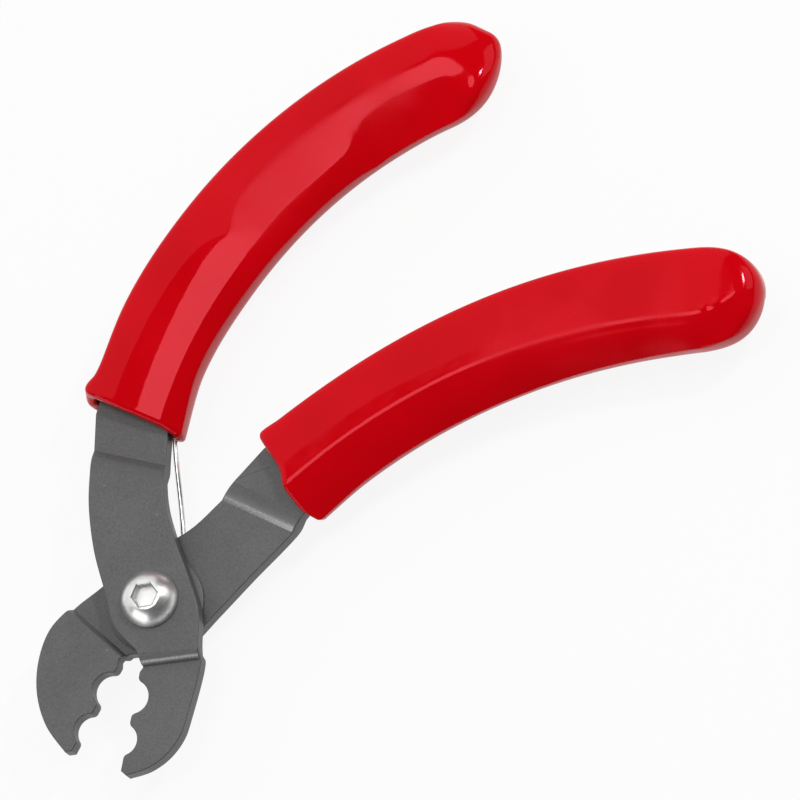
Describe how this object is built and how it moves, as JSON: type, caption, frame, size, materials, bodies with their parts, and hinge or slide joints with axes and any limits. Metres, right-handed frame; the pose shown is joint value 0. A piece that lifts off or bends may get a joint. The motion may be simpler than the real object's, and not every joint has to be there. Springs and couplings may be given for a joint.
{
  "type": "nock pliers",
  "caption": "Hand pliers with two offset plate levers on a pivot screw, notched jaws for closing and opening string rings, sleeve grips and a return spring.",
  "frame": {"origin": "on the pivot axis, on the flat end of the screw's tail, which the tool rests on when it lies on its back", "axes": "+X from the jaws to the handles, +Y towards the front handle, +Z along the pivot axis to the screw's head"},
  "size_m": [0.1451, 0.0953, 0.0167],
  "materials": {
    "dark_steel": "matte blackened plate",
    "red_vinyl": "glossy dipped sleeve",
    "bright_steel": "polished",
    "plain_steel": "plain zinc plated",
    "nylon": "plain moulded",
    "spring_wire": "bright drawn wire"
  },
  "bodies": {
    "rear_half": {"rear_lever": "dark_steel", "rear_grip": "red_vinyl", "pivot_screw": "bright_steel", "thrust_washer": "dark_steel", "flat_washer": "plain_steel", "lock_nut": "plain_steel", "nut_insert": "nylon", "return_spring": "spring_wire"},
    "front_half": {"front_lever": "dark_steel", "front_grip": "red_vinyl"}
  },
  "joints": [
    {"name": "jaw_hinge", "type": "hinge", "parent": "rear_half", "child": "front_half", "pos_m": [0, 0, 0.01008], "axis": [0, 0, -1], "range_deg": [0, 17.5], "stiffness_Nm_per_rad": 0.08, "springref_deg": -57.3, "deforming": ["return_spring"]}
  ]
}
